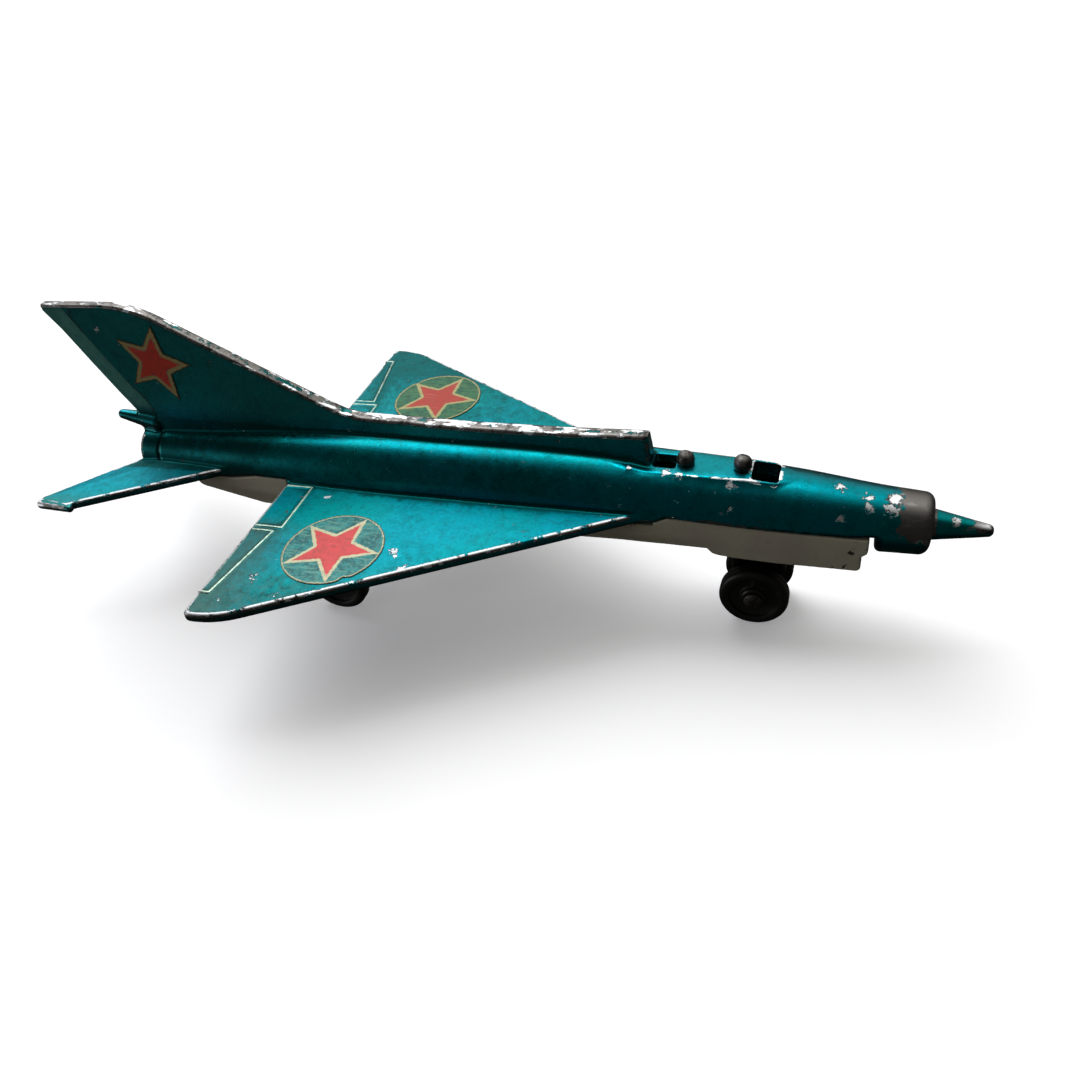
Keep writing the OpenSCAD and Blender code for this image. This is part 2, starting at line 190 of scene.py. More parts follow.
def wing_outline():
    flat, front_r, rear_r = 0.8, 9.0, 0.6
    arc_x, arc_y = WING_REAR_X + flat, HALF_SPAN - front_r
    slope = math.tan(math.radians(SWEEP))
    root_x = arc_x + front_r / math.cos(math.radians(SWEEP)) + (arc_y - BODY_R) * slope
    inner = 2.5
    front = [(WING_REAR_X, inner), (root_x + (BODY_R - inner) * slope, inner)]
    rear_arc = arc((WING_REAR_X + rear_r, HALF_SPAN - rear_r), rear_r, 90, 180, 5)
    return front + arc((arc_x, arc_y), front_r, SWEEP, 90, 8) + rear_arc


def stab_outline():
    root_x, root_y, tip_y = -26.8, 2.1, 12.6
    slope = math.tan(math.radians(SWEEP))
    tip_x = root_x - (tip_y - 1.0 - root_y) * slope - 0.1
    return [(TAIL_X - 0.5, root_y), (root_x, root_y), (tip_x, tip_y - 1.0), (tip_x - 0.6, tip_y - 0.5),
            (-47.9, tip_y - 0.9), (-47.9, tip_y - 1.6)]


def fin_outline():
    """Fin and spine from the side: x, and height over the wings' top."""
    top = FIN_TOP - WING_TOP
    slope = math.radians(27.8)
    edge_x, edge_z, corner_r = -32.6, top - 1.85, 13.0
    arc_z = top - corner_r
    arc_x = edge_x + (edge_z - arc_z - corner_r * math.cos(slope)) / math.tan(slope)
    arc_x -= corner_r * math.sin(slope)
    foot_z = 7.5
    foot_x = edge_x + (edge_z - foot_z) / math.tan(slope)
    crest = [(foot_x, foot_z), (foot_x + 1.6, foot_z - 0.72), (foot_x + 3.4, foot_z - 1.1), (0, 6.12),
             (9, 6.2), (SILL_X - 0.2, 6.45)]
    spine = [(SILL_X + 0.15, 2.0), (-41.0, 2.0), (-41.0, 5.0), (-47.55, top - 0.85), (-47.3, top - 0.12)]
    return arc((arc_x, arc_z), corner_r, 90, 90 - 27.8, 7) + crest + spine


RUDDER_LINE = [(-44.55, 17.6), (-43.6, 15.6), (-42.15, 12.1), (-40.4, 8.95), (-38.9, 7.5), (-38.0, 5.3),
               (SEAM_X, 2.0)]


def joint_outline():
    """What lies below the joint line of the two castings, from the side."""
    wing_in_x = 18.3
    gap, far_below = 0.1, -30
    wing_z = 0.3 - WING_T
    return [(BELLY_REAR_X, far_below), (BELLY_REAR_X, -0.6), (-28.7, -0.6), (-25.2, 0.1),
            (WING_REAR_X - gap, 0.2), (WING_REAR_X - gap, wing_z), (wing_in_x, wing_z),
            (wing_in_x + 1.4, -0.15), (RING_X - gap, -1.4), (RING_X - gap, far_below)]


def plate_field(outline, x, y, z, top, bottom, r):
    """Flat plate with an outline in plan and edges rounded to radius r."""
    side = polygon_field(outline, x, np.abs(y))
    slab = np.maximum(z - top, bottom - z)
    return round_max(side, slab, r)


def tube_field(x, y, z, inset):
    radius = eased(RADIUS, x) - inset
    return np.hypot(y, z - eased(AXIS, x)) - radius


def deck_top(x):
    return np.interp(x, [9.0, 14.0, 17.2, 26.5, 29.3, 31.0], [4.75, 4.0, 3.38, 3.17, 2.92, 2.6])


def deck_field(x, y, z):
    """Flat cockpit deck with leaning sides."""
    top = deck_top(x)
    half = np.interp(x, [22, 29.2, 31.4], [1.9, 1.6, 0.4])
    side = (np.abs(y) - half + (z - top) * 0.6) / 1.17
    ends = np.maximum(SILL_X - 2 - x, x - 30.6)
    return soft_max(np.maximum(z - top, ends), side, 0.12)


def fin_half(x, z):
    """Half the thickness of the fin and spine."""
    on_spine = step_up(x, -22, 2)
    height = np.clip((z - 3) / 15, 0, 1)
    draft = np.clip((z - 3.4) / 3.0, 0, 1)
    half = FIN_HALF - 0.16 * height + on_spine * (0.42 - (0.34 + 0.1 * on_spine) * draft)
    rudder = polygon_field(RUDDER_LINE + [(-60, 2.0), (-60, 17.6)], x, z)
    return half - step_up(-rudder, -0.07, 0.07) * (0.12 + 0.09 * np.clip(-rudder, 0, 3))


def fin_field(x, y, z):
    """Fin and spine: one outline with a thickness that changes along it."""
    side = polygon_field(fin_outline(), x, z)
    return round_max(side, np.abs(y) - fin_half(x, z), 0.34)


def ridge_field(x, y, z):
    """Raised lines round the flap and the aileron."""
    hinge, rear, root, split, end = WING_REAR_X + 3.4, WING_REAR_X + 0.4, 4.75, 11.4, 21.35
    flap = [(rear, root), (hinge, root), (hinge, split), (rear, split)]
    aileron = [(rear, split + 0.65), (hinge - 0.65, split + 0.65), (hinge - 2.25, end), (rear - 0.2, end)]
    best = np.full(x.shape, 1e3)
    p = np.stack([x, np.abs(y), z], axis=1)
    for path in (flap, aileron):
        for a, b in zip(path, path[1:]):
            best = np.minimum(best, rod_field((*a, -0.08), (*b, -0.08), 0.2, 0.2, p))
    return best


def nose_frame(x, z):
    """Distance along and across the drooped nose axis, from the ring's front face."""
    dx, dz = x - FACE_X, z - eased(AXIS, np.full(1, FACE_X))[0]
    return dx * math.cos(DROOP) - dz * math.sin(DROOP), dx * math.sin(DROOP) + dz * math.cos(DROOP)


def nose_field(body, x, y, z):
    """Closes the nose with a rounded face, a groove and the intake cone."""
    along, across = nose_frame(x, z)
    out = np.hypot(y, across)
    body = round_max(body, along, 0.85)
    groove = np.maximum(np.abs(out - 1.68) - 0.22, -0.9 - along)
    body = soft_max(body, -groove, 0.12)
    tip = (NOSE_TIP - FACE_X) / math.cos(DROOP)
    taper = (1.45 - 0.5) / tip
    cone = (out - 1.45 + taper * np.maximum(along, 0)) * math.cos(math.atan(taper))
    cone = round_max(cone, along - tip + 0.02, 0.42)
    return soft_min(body, np.maximum(cone, -2.0 - along), 0.08)


def wing_field(x, y, z):
    wing = plate_field(wing_outline(), x, y, z, 0.0, -WING_T, 0.38)
    lines = only_near((WING_REAR_X, 4.5, -0.3), (-17, 21.5, 0.3), ridge_field, x, y, z)
    return np.maximum(soft_min(wing, lines, 0.1), 3.6 - np.abs(y))


def stab_field(x, y, z):
    """Tailplane: a plate that thins behind its crease line, with a small pod along its tip."""
    behind_crease = (-38.9 - x) * 0.644 + (4.06 - np.abs(y)) * 0.765
    top = 0.5 - 0.17 * np.maximum(behind_crease, 0)
    stab = plate_field(stab_outline(), x, y, z, top, -0.45, 0.3)
    folded = np.stack([x, np.abs(y), z], axis=1)
    pod = rod_field((-47.6, 11.85, 0.0), (-43.6, 12.15, 0.05), 0.5, 0.4, folded)
    return np.maximum(soft_min(stab, pod, 0.3), 2.2 - np.abs(y))


def upper_field(p):
    """The painted upper casting."""
    q = p - (0, 0, WING_TOP)
    x, y, z = q.T
    skin = tube_field(x, y, z, 0)
    over_deck = np.maximum(np.maximum(9 - x, x - 26.5), deck_top(x) - z)
    skin = soft_max(skin, -over_deck, 0.2)
    skin = soft_min(skin, only_near((15, 0, 1), (31, 2.5, 3.5), deck_field, x, y, z), 0.35)
    skin = skin + 0.1 * np.exp(-(((x - SEAM_X) / 0.16) ** 2))
    skin = soft_max(skin, TAIL_X - x, 0.35)
    skin = nose_field(skin, x, y, z)
    skin = round_max(skin, -polygon_field(joint_outline(), x, z), 0.12 + 0.45 * step_up(x, 36.0, 38.0))
    skin = soft_min(skin, only_near((-48, 0, 2), (SILL_X, 1.3, 18), fin_field, x, y, z), 0.4)
    skin = soft_min(skin, rod_field((-43.4, 0, 4.35), (-38.8, 0, 3.6), 0.55, 1.1, q), 0.35)
    hollow = np.maximum(tube_field(x, y, z, WALL), np.maximum(-37.0 - x, x - RING_X + WALL))
    skin = soft_max(skin, -hollow, 0.3)
    nozzle = np.maximum(np.hypot(y, z - 0.15) - 2.2 - 0.08 * (TAIL_X - x), x - TAIL_X - 2.6)
    skin = soft_max(skin, -nozzle, 0.25)
    front_slot = box_field((FRONT_SLOT_X, 0, 3.5), (1.2, 1.45, 2.0), q, 0.3)
    rear_slot = box_field((REAR_SLOT_X, 0, 3.5), (1.05, 1.05, 2.0), q, 0.25)
    skin = soft_max(skin, -np.minimum(front_slot, rear_slot), 0.1)
    skin = soft_min(skin, only_near((-22, 3, -WING_T), (18, HALF_SPAN, 0.2), wing_field, x, y, z), 0.35)
    return soft_min(skin, only_near((-48.2, 2, -0.6), (-27, 12.6, 0.6), stab_field, x, y, z), 0.4)


def lower_field(p):
    """The white lower casting: a shell with chamfered sides, a chin and a tongue."""
    q = p - (0, 0, WING_TOP)
    x, y, z = q.T
    low, front, rear, r = BELLY_LOW[2] - WING_TOP, BELLY_HIGH[0] + 0.35, BELLY_REAR_X + 0.1, 0.45
    high, lip_x = 6, front - 0.6 - r
    side = [(rear + r, high), (rear + r, -2.75 + r), (-26.3, -4.6 + r), (-13, -4.1 + r), (8, -4.1 + r),
            (19.4, -3.7 + r), (23.6, -3.7 + r), (24.1, -4.42 + r), (24.5, -4.55 + r), (lip_x, low + r),
            (lip_x, low + 2.1), (front - r, low + 2.1 + r), (front - r, high)]
    plan = [(rear, -1), (rear, 3.1), (-26.3, 3.72), (-13, 4.45), (9, 4.4), (SILL_X, 4.27), (30, 3.85),
            (front, 3.2), (front, -1)]
    ay = np.abs(y)
    across = polygon_field(plan, x, ay)
    along = polygon_field(side, x, z) - r
    crease_z = np.interp(x, [-34, -26, -13, 20], [-1.8, -2.0, -2.4, -2.6])
    lean = np.interp(x, [-34, -26, -13, 15, 26], [0.38, 0.42, 0.55, 0.55, 0.12])
    chamfer = (across + lean * (crease_z - z)) / np.sqrt(1 + lean * lean)
    form = soft_max(round_max(across, along, 0.35), chamfer, 0.15)
    inner = np.maximum(np.maximum(across, along), chamfer) + WALL
    shell = soft_max(form, -inner, 0.3)
    below = polygon_field(joint_outline(), x, z) + 0.1
    under_wing = np.maximum(np.maximum(WING_REAR_X - 0.2 - x, x - 18.4), -WING_T - 0.1 - z)
    shell = soft_max(soft_max(shell, below, 0.2), -under_wing, 0.1)
    shell = np.minimum(shell, box_field((rear - 0.45, 0, -0.95), (1.95, 1.0, 0.45), q, 0.15))
    rivet_low, _, rivet = box_mm("rear_rivet")
    foot_z = rivet_low[2] - WING_TOP
    post = np.hypot(x - rivet[0], y)
    shell = np.minimum(shell, np.maximum(post - 1.5, np.maximum(z - 1.5, foot_z - z)))
    sink = np.maximum(post - 0.87, z - foot_z - 0.4)
    shell = soft_max(shell, -np.minimum(sink, post - 0.62), 0.1)
    _, leg_high, leg = box_mm("nose_leg")
    slot = np.maximum(np.abs(x - leg[0]) - leg_high[0] + leg[0] + 0.78, ay - 1.12)
    shell = soft_max(shell, -np.maximum(slot, z), 0.1)
    _, foot_high, foot = box_mm("main_leg_left")
    notch = np.maximum(np.abs(x - foot[0]) - foot_high[0] + foot[0] - 0.03, -2.22 - z)
    return soft_max(shell, -np.maximum(notch, 0.9 - ay), 0.1)


# ----- from field to mesh -----

BLOCK = 8


def sample(field, points):
    out = np.empty(len(points))
    for i in range(0, len(points), 400000):
        out[i:i + 400000] = field(points[i:i + 400000])
    return out


def fill_grid(field, low, count, step):
    """Field values on a grid, worked out only in blocks near the surface."""
    blocks = (count - 1) // BLOCK + 1
    centres = np.stack(np.meshgrid(*[np.arange(n) for n in blocks], indexing="ij"), axis=-1)
    centres = centres.reshape(-1, 3) * BLOCK + BLOCK / 2
    at_centre = sample(field, low + centres * step).reshape(blocks)
    near = np.abs(at_centre) < BLOCK * step * 0.87 * 1.4
    full = np.where(at_centre > 0, 1.0, -1.0).astype(np.float32)
    for axis in range(3):
        full = np.repeat(full, BLOCK, axis=axis)
        near = np.repeat(near, BLOCK, axis=axis)
    full = full[:count[0], :count[1], :count[2]].copy()
    near = near[:count[0], :count[1], :count[2]]
    full[near] = sample(field, low + np.argwhere(near) * step)
    return full


CORNERS = np.array([(i, j, k) for i in (0, 1) for j in (0, 1) for k in (0, 1)])
EDGES = [(a, b) for a in range(8) for b in range(a + 1, 8) if np.abs(CORNERS[a] - CORNERS[b]).sum() == 1]


def surface_net(values, low, step):
    """Vertices, one for each grid cell that the surface crosses, and the quads that join them."""
    inside = values < 0
    cells = np.array(values.shape) - 1
    total = np.zeros(cells, np.int8)
    for i, j, k in CORNERS:
        total += inside[i:i + cells[0], j:j + cells[1], k:k + cells[2]]
    crossed = np.argwhere((total > 0) & (total < 8))
    at = [values[tuple((crossed + c).T)] for c in CORNERS]
    sums, hits = np.zeros((len(crossed), 3)), np.zeros(len(crossed))
    for a, b in EDGES:
        cut = (at[a] < 0) != (at[b] < 0)
        t = np.where(cut, at[a] / np.where(cut, at[a] - at[b], 1), 0)
        spot = CORNERS[a] + t[:, None] * (CORNERS[b] - CORNERS[a])
        sums += spot * cut[:, None]
        hits += cut
    points = low + (crossed + sums / hits[:, None]) * step
    number = np.full(cells, -1, np.int64)
    number[tuple(crossed.T)] = np.arange(len(crossed))
    quads = []
    for axis in range(3):
        first = [slice(1, -1)] * 3
        second = [slice(1, -1)] * 3
        first[axis], second[axis] = slice(0, -1), slice(1, None)
        a, b = inside[tuple(first)], inside[tuple(second)]
        base = np.argwhere(a != b)
        enters = b[tuple(base.T)]
        base[:, [n for n in range(3) if n != axis]] += 1
        u, v = np.roll(np.eye(3, dtype=int), -axis - 1, axis=0)[:2]
        ring = [number[tuple((base - s).T)] for s in (u + v, v, 0 * u, u)]
        quad = np.stack(ring, axis=1)
        quad[enters] = quad[enters][:, ::-1]
        quads.append(quad)
    return points, np.concatenate(quads)


def either_way(field, points, reach):
    """Field values a step forward and a step back along each axis."""
    return [(sample(field, points + step), sample(field, points - step)) for step in np.eye(3) * reach]


def gradient(field, points, reach=0.02):
    return np.stack([(a - b) / (2 * reach) for a, b in either_way(field, points, reach)], axis=1)


def settled(field, points, step, rounds=3):
    """Moves the points onto the exact surface."""
    start = points.copy()
    for _ in range(rounds):
        slope = gradient(field, points)
        size = np.maximum((slope ** 2).sum(axis=1), 0.2)
        points = points - (sample(field, points) / size)[:, None] * slope
        points = start + np.clip(points - start, -step, step)
    return points


def add_object(name, data):
    obj = bpy.data.objects.new(name, data)
    bpy.context.scene.collection.objects.link(obj)
    return obj


def new_object(name, points, faces):
    """Closed mesh object from points in millimetres, facing outwards."""
    mesh = bpy.data.meshes.new(name)
    mesh.from_pydata((np.asarray(points) * MM).tolist(), [], [list(map(int, f)) for f in faces])
    shape = bmesh.new()
    shape.from_mesh(mesh)
    if shape.calc_volume(signed=True) < 0:
        bmesh.ops.reverse_faces(shape, faces=shape.faces)
        shape.to_mesh(mesh)
    shape.free()
    return add_object(name, mesh)


def mesh_points(obj):
    flat = np.empty(len(obj.data.vertices) * 3)
    obj.data.vertices.foreach_get("co", flat)
    return flat.reshape(-1, 3) / MM


def thin_out(obj, share):
    """Collapses flat areas, so that the piece keeps its detail with fewer faces."""
    modifier = obj.modifiers.new("thin", "DECIMATE")
    modifier.ratio = share
    graph = bpy.context.evaluated_depsgraph_get()
    mesh = bpy.data.meshes.new_from_object(obj.evaluated_get(graph))
    obj.modifiers.clear()
    old = obj.data
    obj.data = mesh
    bpy.data.meshes.remove(old)


def add_values(obj, name, values):
    layer = obj.data.attributes.new(name, "FLOAT", "POINT")
    layer.data.foreach_set("value", np.asarray(values, np.float32))


def bend_of(field, points, reach=0.4):
    """How sharply the surface bends: 0 where flat, up to 1 on edges, below 0 in creases."""
    total = -6 * sample(field, points)
    for a, b in either_way(field, points, reach):
        total += a + b
    return np.clip(total / reach, -1, 1)


def cast_piece(name, node, field, step=0.12, share=0.5, mirrored=True):
    """Cast or moulded piece from its field, with exact normals and its bend at each point."""
    low, high, _ = box_mm(node)
    low, high = low - 2 * step, high + 2 * step
    if mirrored:
        low[1] = 0.0
    count = np.ceil((high - low) / step).astype(int) + 1
    values = fill_grid(field, low, count, step)
    if mirrored:
        values = np.concatenate([values[:, :0:-1], values], axis=1)
        low[1] = -(count[1] - 1) * step
    points, quads = surface_net(values, low, step)
    points = settled(field, points, step)
    obj = new_object(name, points, quads)
    if share < 1:
        thin_out(obj, share)
        points = settled(field, mesh_points(obj), step, 2)
        obj.data.vertices.foreach_set("co", (points * MM).ravel())
    slope = gradient(field, points, 0.04)
    normal = slope / np.maximum(np.linalg.norm(slope, axis=1), 1e-6)[:, None]
    obj.data.shade_smooth()
    obj.data.normals_split_custom_set_from_vertices(normal.tolist())
    add_values(obj, "bend", bend_of(field, points))
    return obj


def turned_piece(name, profile, centre, axis, sharp=35, dent=None):
    """Lathe-turned piece. The profile holds (radius, distance along the axis); dent may move points."""
    steps = 96
    points, rings = [], []
    for r, h in profile:
        turns = steps if r > 1e-6 else 1
        rings.append([len(points) + i for i in range(turns)])
        for i in range(turns):
            a = 2 * math.pi * i / steps
            lift = h + (dent(r, h, a) if dent else 0)
            u, v = r * math.cos(a), r * math.sin(a)
            points.append(np.array((u, lift, v) if axis == "y" else (u, v, lift)) + centre)
    pairs = list(zip(rings, rings[1:]))
    if profile[0][0] > 1e-6:
        pairs.append((rings[-1], rings[0]))
    faces = []
    for one, two in pairs:
        for i in range(steps):
            j = (i + 1) % steps
            face = [one[i % len(one)], one[j % len(one)], two[j % len(two)], two[i % len(two)]]
            faces.append(list(dict.fromkeys(face)))
    obj = new_object(name, points, faces)
    obj.data.shade_smooth()
    obj.data.set_sharp_from_angle(angle=math.radians(sharp))
    return obj


def place_piece(obj, node, material, body="airframe"):
    """Lets a finished piece stand for its CAD node and move with its body."""
    obj.data.materials.append(material)
    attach(obj, body)
    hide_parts(node)
    return obj


# ----- undercarriage, rivets and labels -----


def leg_outline(centre, r, half_l, knee, top):
    """Side view of a leg: a block that narrows to a round knuckle."""
    x = centre[0]
    knuckle = arc(centre, r, 190, 350, 12)
    return [(x - half_l, top), (x - half_l, knee)] + knuckle + [(x + half_l, knee), (x + half_l, top)]


def nose_leg_piece(material):
    low, high, middle = box_mm("nose_leg")
    flange = 0.8
    axle = JOINTS["nose_wheel_left"]
    half_y = high[1] - flange
    half_l = high[0] - middle[0] - flange
    knuckle_r = axle[2] - low[2]
    outline = leg_outline((axle[0], axle[2]), knuckle_r, half_l, axle[2] + knuckle_r + 0.6, high[2] - 2.5)
    outline = [(x + (middle[0] - axle[0]) * (z > axle[2] + knuckle_r), z) for x, z in outline]

    def field(p):
        x, y, z = p.T
        leg = round_max(polygon_field(outline, x, z), np.abs(y) - half_y, 0.3)
        panel = polygon_field(leg_outline((axle[0], axle[2]), 0.7, half_l - 0.8, 7.0, 8.4), x, z)
        leg = soft_max(leg, -np.maximum(panel, half_y - 0.25 - np.abs(y)), 0.15)
        boss = np.maximum(np.hypot(x - axle[0], z - axle[2]) - 1.15, np.abs(y) - half_y - 0.12)
        leg = soft_min(leg, boss, 0.1)
        plate = box_field((middle[0], 0, 10.85), (half_l + flange, half_y + flange, 0.38), p, 0.15)
        return np.minimum(leg, plate)

    obj = cast_piece("nose_leg_moulding", "nose_leg", field)
    return place_piece(obj, "nose_leg", material)


def main_leg_piece(name, side, material):
    low, high, middle = box_mm(name)
    axle = JOINTS["main_wheel_left"]
    foot_y, reach_y = sorted((abs(low[1]), abs(high[1])))
    half_l = high[0] - middle[0]
    thick = 1.4
    knuckle_r = axle[2] - low[2]
    outline = leg_outline((axle[0], axle[2]), knuckle_r, half_l, high[2] - 3.5, high[2])

    def field(p):
        x, y, z = p[:, 0], p[:, 1] * side, p[:, 2]
        across = np.abs(y - reach_y + thick / 2) - thick / 2
        leg = round_max(polygon_field(outline, x, z), across, 0.28)
        panel = leg_outline((axle[0], axle[2]), 0.6, half_l - 0.75, high[2] - 3.7, high[2] - 1.3)
        panel = polygon_field(panel, x, z)
        leg = soft_max(leg, -np.maximum(panel, reach_y - 0.25 - y), 0.15)
        centre = (axle[0], (foot_y + reach_y) / 2, high[2] - 0.55)
        half = (half_l, (reach_y - foot_y) / 2, 0.54)
        foot = box_field(centre, half, np.stack([x, y, z], axis=1), 0.12)
        return np.minimum(leg, foot)

    obj = cast_piece(name + "_moulding", name, field, mirrored=False)
    return place_piece(obj, name, material)


def quarter(centre, across, along, count):
    """Quarter of an ellipse, from its end along the axis to its side."""
    return [(centre[0] + across * math.sin(a), centre[1] + along * math.cos(a))
            for a in np.linspace(0, math.pi / 2, count)]


def wheel_piece(name, material):
    """Moulded wheel: rounded tyre, dished hub with a boss, and one moulding pip."""
    low, high, centre = box_mm(name)
    side = 1 if centre[1] > 0 else -1
    r, w = (high[2] - low[2]) / 2, high[1] - low[1]
    bore = 0.56
    outer = [(bore, w), (1.05, w), (1.2, w - 0.12), (1.28, w - 0.42), (1.42, w - 0.5), (2.15, w - 0.46),
             (2.32, w - 0.38), (2.42, w - 0.12), (2.55, w - 0.04), (2.8, w - 0.02)]
    tyre = quarter((r - 0.55, w - 0.55), 0.55, 0.53, 8)
    seam = [(r, w / 2 + 0.07), (r - 0.03, w / 2), (r, w / 2 - 0.07)]
    under = quarter((r - 0.45, 0.45), 0.45, -0.45, 7)[::-1]
    inner = [(2.4, 0.0), (2.25, 0.2), (1.2, 0.2), (1.1, 0.0), (bore, 0.0)]
    start = low[1] if side > 0 else high[1]
    profile = [(a, b * side) for a, b in outer + tyre + seam + under + inner]

    def pip(radius, h, angle):
        on_hub = 1.4 < radius < 2.2 and abs(h) > w / 2
        return side * 0.2 * math.exp(-((angle - math.pi / 2) / 0.12) ** 2) if on_hub else 0.0

    obj = turned_piece(name + "_moulding", profile, (centre[0], start, centre[2]), "y", 30, pip)
    return place_piece(obj, name, material, name)


def axle_piece(name, material):
    """Pin with a domed head at each end."""
    _, high, centre = box_mm(name)
    _, half, head_r = high - centre
    pin_r, head_l, rim = 0.5, 0.45, 0.12
    dome = quarter((0.0, half - head_l + rim), head_r, head_l - rim, 9)
    end = dome + [(head_r - 0.03, half - head_l), (pin_r, half - head_l), (pin_r, 0.2)]
    profile = end + [(r, -h) for r, h in reversed(end)]
    profile[0], profile[-1] = (0.0, half), (0.0, -half)
    obj = turned_piece(name + "_pin", profile, centre, "y")
    return place_piece(obj, name, material)


def rivet_piece(name, material):
    """Round-headed rivet with a slightly hammered dome."""
    low, high, middle = box_mm(name)
    centre = np.array([middle[0], 0, 0])
    head_r, head_h, pin_r = (high[0] - low[0]) / 2, 1.3, 0.6
    seat = high[2] - head_h
    dome = [(head_r * math.cos(a) ** 0.8, seat + 0.5 + (head_h - 0.5) * math.sin(a))
            for a in np.linspace(math.pi / 2, 0, 12)]
    dome[0] = (0.0, high[2])
    body = [(head_r, seat + 0.25), (head_r - 0.1, seat + 0.02), (pin_r, seat)]
    foot = [(pin_r, low[2] + 0.05), (0.0, low[2])]
    if name == "rear_rivet":
        foot = [(pin_r, low[2] + 0.4), (head_r, low[2] + 0.38), (head_r, low[2] + 0.03),
                (head_r - 0.1, low[2]), (0.0, low[2])]

    def hammered(r, h, a):
        return 0.035 * math.sin(3 * a + 1) * r / head_r if h > seat + 0.6 else 0.0

    obj = turned_piece(name + "_turned", dome + body + foot, centre, "z", 40, hammered)
    return place_piece(obj, name, material)


def star_outline(r, ratio, first):
    spots = []
    for i in range(10):
        a = math.radians(first + 36 * i)
        size = r if i % 2 == 0 else r * ratio
        spots.append((size * math.cos(a), size * math.sin(a)))
    return spots


def label_mesh(name, outline, star, lay):
    """Thin sheet inside an outline. lay(u, v, height) puts a point of the sheet on the airframe."""
    rings, around = 34, 8
    corners = np.array(outline)
    share = np.linspace(0, 1, around, endpoint=False)[None, :, None]
    edge = corners[:, None] + (np.roll(corners, -1, axis=0) - corners)[:, None] * share
    edge = edge.reshape(-1, 2)
    n = len(edge)
    flat = np.concatenate([edge * (k / rings) for k in range(1, rings + 1)] + [np.zeros((1, 2))])
    u, v = flat[:, 0], flat[:, 1]
    points = np.concatenate([lay(u, v, PAPER), lay(u, v, 0.0)])

    def band(one, two):
        """Quads between two rings, each given by its first point."""
        return [[one + i, one + (i + 1) % n, two + (i + 1) % n, two + i] for i in range(n)]

    faces = [face for k in range(rings - 1) for face in band(k * n, (k + 1) * n)]
    faces += [[rings * n, (i + 1) % n, i] for i in range(n)]
    under, last = len(flat), (rings - 1) * n
    faces += [[under + c for c in reversed(face)] for face in faces]
    faces += band(last, under + last)
    obj = new_object(name, points, faces)
    add_values(obj, "rim", np.tile(-polygon_field(outline, u, v), 2))
    add_values(obj, "star", np.tile(polygon_field(star, u, v), 2))
    return obj


def wing_label_piece(name, side, material):
    """Round label with a star, on the top of a wing, with a chip out of its rim."""
    chip_at, chip_depth, chip_width = (308, 0.35, 5) if side < 0 else (140, 0.25, 4)
    outline = []
    for a in np.arange(0, 360, 3.0):
        r = LABEL_R - chip_depth * math.exp(-((a - chip_at) / chip_width) ** 2)
        outline.append((r * math.cos(math.radians(a)), r * math.sin(math.radians(a))))
    star = star_outline(LABEL_R - 0.12, 0.43, 0)

    def lay(u, v, height):
        heights = np.full(len(u), WING_TOP + height)
        return np.stack([LABEL_CENTRE[0] + u, side * abs(LABEL_CENTRE[1]) + v, heights], axis=1)

    obj = label_mesh(name + "_paper", outline, star, lay)
    return place_piece(obj, name, material)


def fin_label_piece(name, side, material):
    low, high, centre = box_mm(name)
    star = star_outline((high[2] - low[2]) / 2 / math.sin(math.radians(72)), 0.45, 0)

    def lay(u, v, height):
        x, z = centre[0] + u, centre[2] + v
        y = fin_half(x, z - WING_TOP) + 0.004 + height
        return np.stack([x, side * y, z], axis=1)

    obj = label_mesh(name + "_paper", star, star, lay)
    return place_piece(obj, name, material)


# ----- materials -----


class Nodes:
    """Short ways to add nodes to a tree and join them."""

    def __init__(self, tree):
        self.tree = tree

    def node(self, kind, *values, **settings):
        made = self.tree.nodes.new("ShaderNode" + kind)
        for key, value in settings.items():
            setattr(made, key, value)
        for socket, value in zip(made.inputs, values):
            self.put(socket, value)
        return made

    def put(self, socket, value):
        if isinstance(value, bpy.types.NodeSocket):
            self.tree.links.new(value, socket)
        elif value is not None:
            socket.default_value = value

    def calc(self, operation, *values):
        """One Math node after another, each taking in the next value."""
        total = values[0]
        for value in values[1:]:
            total = self.node("Math", total, value, operation=operation).outputs[0]
        return total

    def times(self, *values):
        return self.calc("MULTIPLY", *values)

    def plus(self, *values):
        """Sum of the values, where a tuple counts as the product of what it holds."""
        return self.calc("ADD", *[self.times(*v) if isinstance(v, tuple) else v for v in values])

    def less(self, a, b):
        return self.calc("SUBTRACT", a, b)

    def most(self, *values):
        return self.calc("MAXIMUM", *values)

    def fade(self, value, low, high, start=0, end=1):
        """Goes from start to end as value goes from low to high, with eased ends."""
        made = self.node("MapRange", value, low, high, start, end, interpolation_type="SMOOTHSTEP")
        return made.outputs[0]


